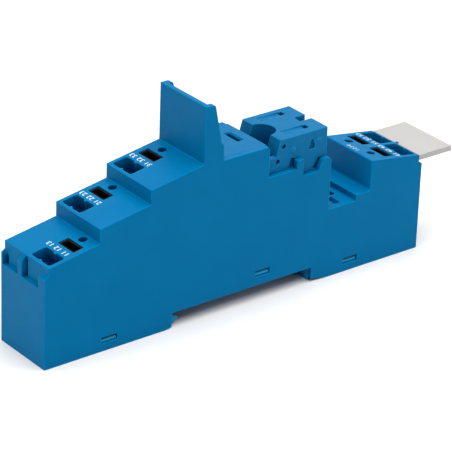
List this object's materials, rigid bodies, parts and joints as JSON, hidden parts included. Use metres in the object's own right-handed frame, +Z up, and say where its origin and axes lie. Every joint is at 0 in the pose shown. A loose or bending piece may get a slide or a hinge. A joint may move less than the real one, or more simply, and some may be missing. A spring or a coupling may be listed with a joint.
{
  "type": "relay socket",
  "caption": "Slim DIN-rail relay socket with stepped push-in terminals, release buttons, relay bay, sliding rail clip and a marker tag.",
  "frame": {"origin": "centre of the bounding box, on the plane that the two feet stand on", "axes": "+X along the socket from the stepped terminals to the marker tag, across the rail; +Y across its width, along the rail; +Z up, away from the rail"},
  "size_m": [0.1092, 0.0158, 0.0489],
  "materials": {
    "blue_housing": "satin",
    "blue_block": "satin",
    "blue_base": "satin",
    "pale_tag": "matte",
    "black_button": "matte",
    "spring_steel": "bright",
    "copper_alloy": "satin",
    "tinned_contact": "satin"
  },
  "bodies": {
    "socket": {"housing": "blue_housing", "contact_block": "blue_block", "base_cover": "blue_base", "marker_tag": "pale_tag", "clamp_spring_1": "spring_steel", "clamp_spring_2": "spring_steel", "clamp_spring_3": "spring_steel", "clamp_spring_4": "spring_steel", "clamp_spring_5": "spring_steel", "busbar_1": "copper_alloy", "busbar_2": "copper_alloy", "busbar_3": "copper_alloy", "busbar_4": "copper_alloy", "busbar_5": "copper_alloy", "blade_contact_1": "tinned_contact", "blade_contact_2": "tinned_contact", "blade_contact_3": "tinned_contact", "coil_contact_4": "tinned_contact", "coil_contact_5": "tinned_contact", "module_contact_4": "tinned_contact", "module_contact_5": "tinned_contact"},
    "rail_clip": {"rail_clip": "blue_base"},
    "button_1": {"release_button_1": "black_button"},
    "button_2": {"release_button_2": "black_button"},
    "button_3": {"release_button_3": "black_button"},
    "button_4": {"release_button_4": "black_button"},
    "button_5": {"release_button_5": "black_button"}
  },
  "joints": [
    {"name": "rail_clip_slide", "type": "slide", "parent": "socket", "child": "rail_clip", "axis": [1, 0, 0], "range_m": [0, 0.003], "stiffness_N_per_m": 30, "springref_m": -0.001},
    {"name": "button_1_press", "type": "slide", "parent": "socket", "child": "button_1", "axis": [0.1668, 0, -0.986], "range_m": [0, 0.0015], "stiffness_N_per_m": 15, "springref_m": -0.001},
    {"name": "button_2_press", "type": "slide", "parent": "socket", "child": "button_2", "axis": [0.1668, 0, -0.986], "range_m": [0, 0.0015], "stiffness_N_per_m": 15, "springref_m": -0.001},
    {"name": "button_3_press", "type": "slide", "parent": "socket", "child": "button_3", "axis": [0.1668, 0, -0.986], "range_m": [0, 0.0015], "stiffness_N_per_m": 15, "springref_m": -0.001},
    {"name": "button_4_press", "type": "slide", "parent": "socket", "child": "button_4", "axis": [-0.1495, 0, -0.9888], "range_m": [0, 0.0015], "stiffness_N_per_m": 15, "springref_m": -0.001},
    {"name": "button_5_press", "type": "slide", "parent": "socket", "child": "button_5", "axis": [-0.1495, 0, -0.9888], "range_m": [0, 0.0015], "stiffness_N_per_m": 15, "springref_m": -0.001}
  ]
}
